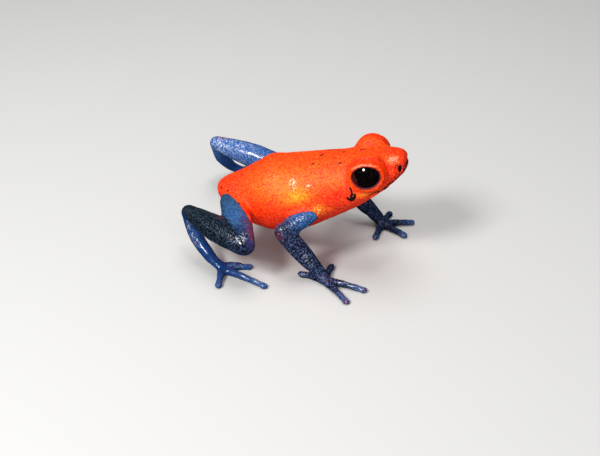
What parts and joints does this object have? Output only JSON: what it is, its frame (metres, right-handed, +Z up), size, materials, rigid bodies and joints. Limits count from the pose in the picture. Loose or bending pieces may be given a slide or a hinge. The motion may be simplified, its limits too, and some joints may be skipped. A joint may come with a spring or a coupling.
{
  "type": "poison dart frog model",
  "caption": "Life-size still model of a small strawberry poison dart frog, sitting with its head raised, red body and blue limbs.",
  "frame": {"origin": "on the floor under the middle of the frog's bounding box", "axes": "+X the way the frog faces, +Y its left, +Z up"},
  "size_m": [0.0248, 0.0262, 0.0133],
  "materials": {
    "red_skin": "moist, finely granular red-orange skin",
    "blue_skin": "moist blue skin with pale glints",
    "dark_skin": "moist blue-black granular skin",
    "eye_black": "clear, mirror-glossy black eye"
  },
  "bodies": {
    "root": {"head": "red_skin", "torso": "red_skin", "eye_l": "eye_black", "eye_r": "eye_black", "upper_arm_l": "blue_skin", "upper_arm_r": "blue_skin", "forearm_l": "dark_skin", "forearm_r": "dark_skin", "hand_l": "dark_skin", "hand_r": "dark_skin", "thigh_l": "blue_skin", "thigh_r": "blue_skin", "shank_l": "dark_skin", "shank_r": "dark_skin", "tarsus_l": "blue_skin", "tarsus_r": "blue_skin", "foot_l": "blue_skin", "foot_r": "blue_skin"}
  },
  "joints": []
}
